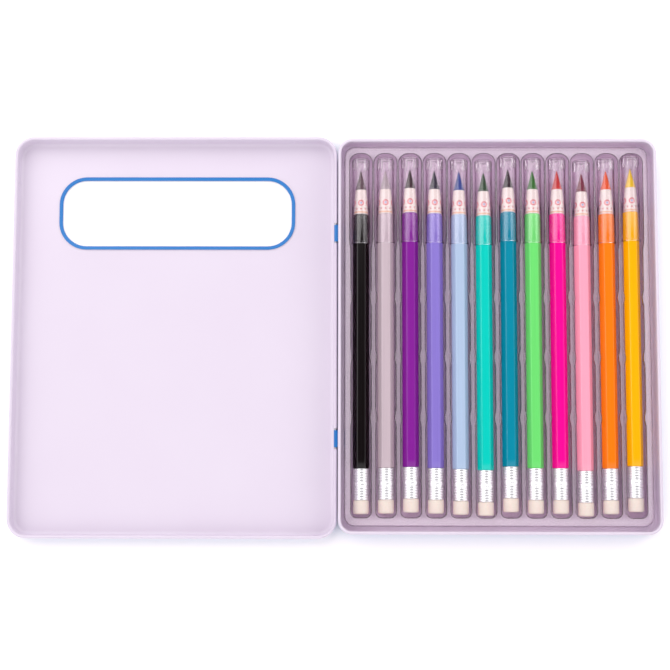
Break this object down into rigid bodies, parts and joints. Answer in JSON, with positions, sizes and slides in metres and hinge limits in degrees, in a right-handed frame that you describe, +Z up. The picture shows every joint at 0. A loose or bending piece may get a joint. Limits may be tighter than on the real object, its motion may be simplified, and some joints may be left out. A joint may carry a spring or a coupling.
{
  "type": "coloured pencil tin",
  "caption": "Shallow hinged tin, open flat, with a long window in the lid and a clear tray holding capped coloured pencils with erasers.",
  "frame": {"origin": "centre of the base's flat underside, which the tin rests on", "axes": "+X across the pencils, away from the hinge; +Y along the pencils, towards their points; +Z up, out of the open base"},
  "size_m": [0.3158, 0.197, 0.0154],
  "materials": {
    "tin_lacquer": "gloss lacquered tinplate, pale lilac",
    "tin_outside": "gloss printed tinplate, bright blue",
    "pin_steel": "bright drawn wire",
    "clear_tray_sheet": "clear vacuum-formed PET sheet",
    "clear_cap": "clear moulded polystyrene",
    "white_collar": "white moulded plastic with a small printed pattern",
    "ferrule_metal": "bright pressed aluminium",
    "eraser_rubber": "matt cream eraser",
    "barrel_01": "satin moulded plastic, black",
    "barrel_02": "satin moulded plastic, warm grey",
    "barrel_03": "satin moulded plastic, purple",
    "barrel_04": "satin moulded plastic, periwinkle",
    "barrel_05": "satin moulded plastic, light blue",
    "barrel_06": "satin moulded plastic, turquoise",
    "barrel_07": "satin moulded plastic, teal",
    "barrel_08": "satin moulded plastic, light green",
    "barrel_09": "satin moulded plastic, magenta",
    "barrel_10": "satin moulded plastic, pink",
    "barrel_11": "satin moulded plastic, orange",
    "barrel_12": "satin moulded plastic, yellow",
    "nib_01": "smooth pressed colour core",
    "nib_02": "smooth pressed colour core",
    "nib_03": "smooth pressed colour core",
    "nib_04": "smooth pressed colour core",
    "nib_05": "smooth pressed colour core",
    "nib_06": "smooth pressed colour core",
    "nib_07": "smooth pressed colour core",
    "nib_08": "smooth pressed colour core",
    "nib_09": "smooth pressed colour core",
    "nib_10": "smooth pressed colour core",
    "nib_11": "smooth pressed colour core",
    "nib_12": "smooth pressed colour core"
  },
  "bodies": {
    "base": {"base_shell": "tin_lacquer"},
    "lid": {"lid_shell": "tin_lacquer", "hinge_pin_upper": "pin_steel", "hinge_pin_lower": "pin_steel"},
    "tray": {"clear_tray": "clear_tray_sheet"},
    "pencil_01": {"pencil_01_barrel": "barrel_01", "pencil_01_nose": "white_collar", "pencil_01_cap": "clear_cap", "pencil_01_eraser_end": "ferrule_metal"},
    "pencil_02": {"pencil_02_barrel": "barrel_02", "pencil_02_nose": "white_collar", "pencil_02_cap": "clear_cap", "pencil_02_eraser_end": "ferrule_metal"},
    "pencil_03": {"pencil_03_barrel": "barrel_03", "pencil_03_nose": "white_collar", "pencil_03_cap": "clear_cap", "pencil_03_eraser_end": "ferrule_metal"},
    "pencil_04": {"pencil_04_barrel": "barrel_04", "pencil_04_nose": "white_collar", "pencil_04_cap": "clear_cap", "pencil_04_eraser_end": "ferrule_metal"},
    "pencil_05": {"pencil_05_barrel": "barrel_05", "pencil_05_nose": "white_collar", "pencil_05_cap": "clear_cap", "pencil_05_eraser_end": "ferrule_metal"},
    "pencil_06": {"pencil_06_barrel": "barrel_06", "pencil_06_nose": "white_collar", "pencil_06_cap": "clear_cap", "pencil_06_eraser_end": "ferrule_metal"},
    "pencil_07": {"pencil_07_barrel": "barrel_07", "pencil_07_nose": "white_collar", "pencil_07_cap": "clear_cap", "pencil_07_eraser_end": "ferrule_metal"},
    "pencil_08": {"pencil_08_barrel": "barrel_08", "pencil_08_nose": "white_collar", "pencil_08_cap": "clear_cap", "pencil_08_eraser_end": "ferrule_metal"},
    "pencil_09": {"pencil_09_barrel": "barrel_09", "pencil_09_nose": "white_collar", "pencil_09_cap": "clear_cap", "pencil_09_eraser_end": "ferrule_metal"},
    "pencil_10": {"pencil_10_barrel": "barrel_10", "pencil_10_nose": "white_collar", "pencil_10_cap": "clear_cap", "pencil_10_eraser_end": "ferrule_metal"},
    "pencil_11": {"pencil_11_barrel": "barrel_11", "pencil_11_nose": "white_collar", "pencil_11_cap": "clear_cap", "pencil_11_eraser_end": "ferrule_metal"},
    "pencil_12": {"pencil_12_barrel": "barrel_12", "pencil_12_nose": "white_collar", "pencil_12_cap": "clear_cap", "pencil_12_eraser_end": "ferrule_metal"}
  },
  "joints": [
    {"name": "lid_hinge", "type": "hinge", "parent": "base", "child": "lid", "pos_m": [-0.07895, 0, 0.0081], "axis": [0, 1, 0], "range_deg": [0, 180]},
    {"name": "tray_lift", "type": "slide", "parent": "base", "child": "tray", "axis": [0, 0, -1], "range_m": [-0.03, 0]},
    {"name": "pencil_01_lift", "type": "slide", "parent": "tray", "child": "pencil_01", "axis": [0, 0, -1], "range_m": [-0.06, 0]},
    {"name": "pencil_02_lift", "type": "slide", "parent": "tray", "child": "pencil_02", "axis": [0, 0, -1], "range_m": [-0.06, 0]},
    {"name": "pencil_03_lift", "type": "slide", "parent": "tray", "child": "pencil_03", "axis": [0, 0, -1], "range_m": [-0.06, 0]},
    {"name": "pencil_04_lift", "type": "slide", "parent": "tray", "child": "pencil_04", "axis": [0, 0, -1], "range_m": [-0.06, 0]},
    {"name": "pencil_05_lift", "type": "slide", "parent": "tray", "child": "pencil_05", "axis": [0, 0, -1], "range_m": [-0.06, 0]},
    {"name": "pencil_06_lift", "type": "slide", "parent": "tray", "child": "pencil_06", "axis": [0, 0, -1], "range_m": [-0.06, 0]},
    {"name": "pencil_07_lift", "type": "slide", "parent": "tray", "child": "pencil_07", "axis": [0, 0, -1], "range_m": [-0.06, 0]},
    {"name": "pencil_08_lift", "type": "slide", "parent": "tray", "child": "pencil_08", "axis": [0, 0, -1], "range_m": [-0.06, 0]},
    {"name": "pencil_09_lift", "type": "slide", "parent": "tray", "child": "pencil_09", "axis": [0, 0, -1], "range_m": [-0.06, 0]},
    {"name": "pencil_10_lift", "type": "slide", "parent": "tray", "child": "pencil_10", "axis": [0, 0, -1], "range_m": [-0.06, 0]},
    {"name": "pencil_11_lift", "type": "slide", "parent": "tray", "child": "pencil_11", "axis": [0, 0, -1], "range_m": [-0.06, 0]},
    {"name": "pencil_12_lift", "type": "slide", "parent": "tray", "child": "pencil_12", "axis": [0, 0, -1], "range_m": [-0.06, 0]}
  ]
}
